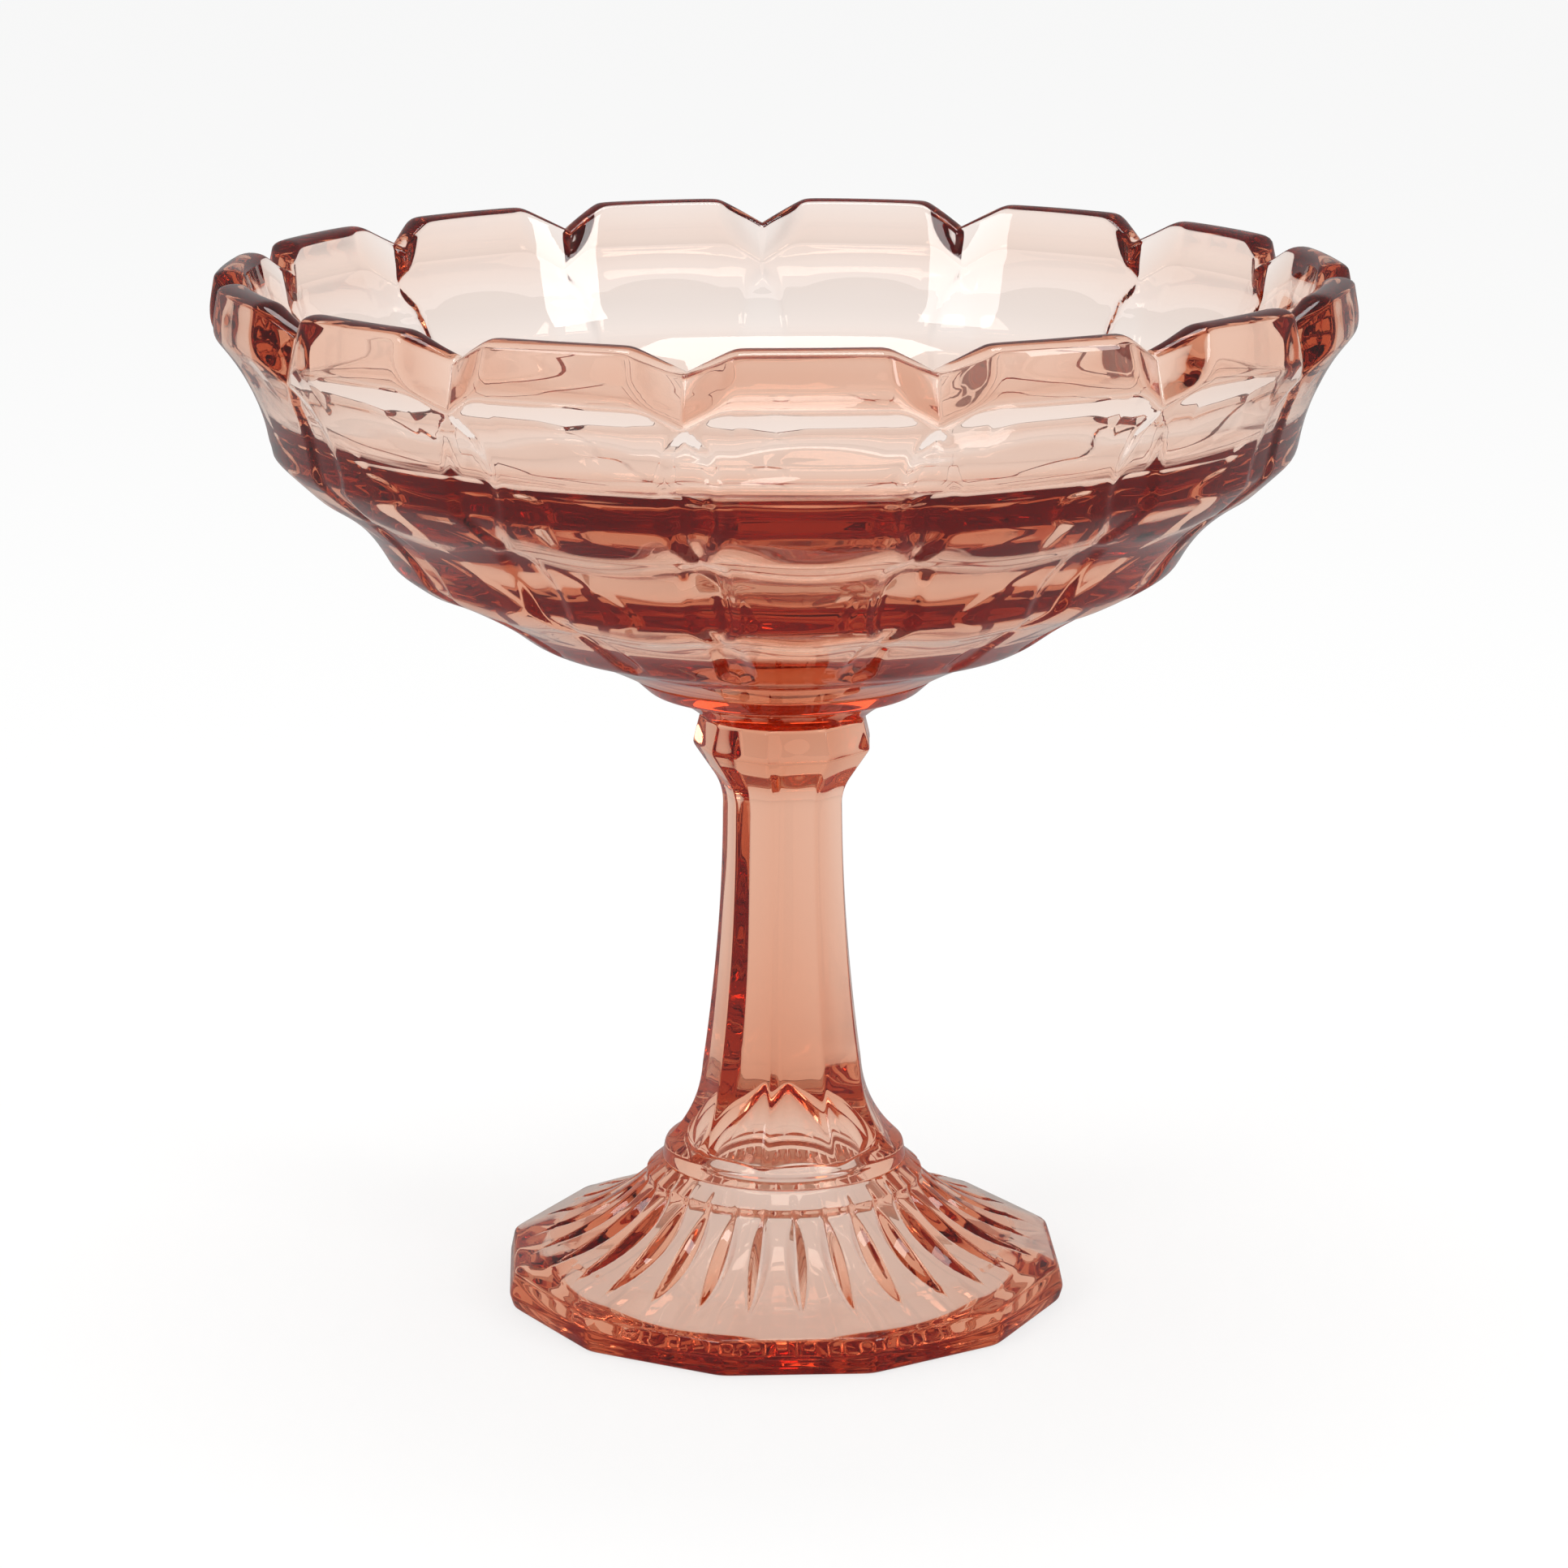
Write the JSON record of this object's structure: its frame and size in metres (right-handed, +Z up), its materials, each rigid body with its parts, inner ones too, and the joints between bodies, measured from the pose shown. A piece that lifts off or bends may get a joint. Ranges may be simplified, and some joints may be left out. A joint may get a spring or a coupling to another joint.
{
  "type": "footed compote bowl",
  "caption": "Footed glass compote: a scalloped, tiered bowl on a flat-sided waisted stem and a fluted polygonal foot, for serving fruit or sweets.",
  "frame": {"origin": "centre of the circle on the table under the foot", "axes": "+Z up the axis of the stem; a flat side of the foot and a panel of the bowl face -Y"},
  "size_m": [0.2106, 0.2103, 0.1968],
  "materials": {
    "glass_foot": "clear pressed pink glass, fire polished",
    "glass_stem": "clear pressed pink glass, fire polished",
    "glass_wafer": "clear pink glass, smooth from the hot join",
    "glass_bowl": "clear pressed pink glass, fire polished"
  },
  "bodies": {
    "root": {"foot": "glass_foot", "stem": "glass_stem", "wafer": "glass_wafer", "bowl": "glass_bowl"}
  },
  "joints": []
}
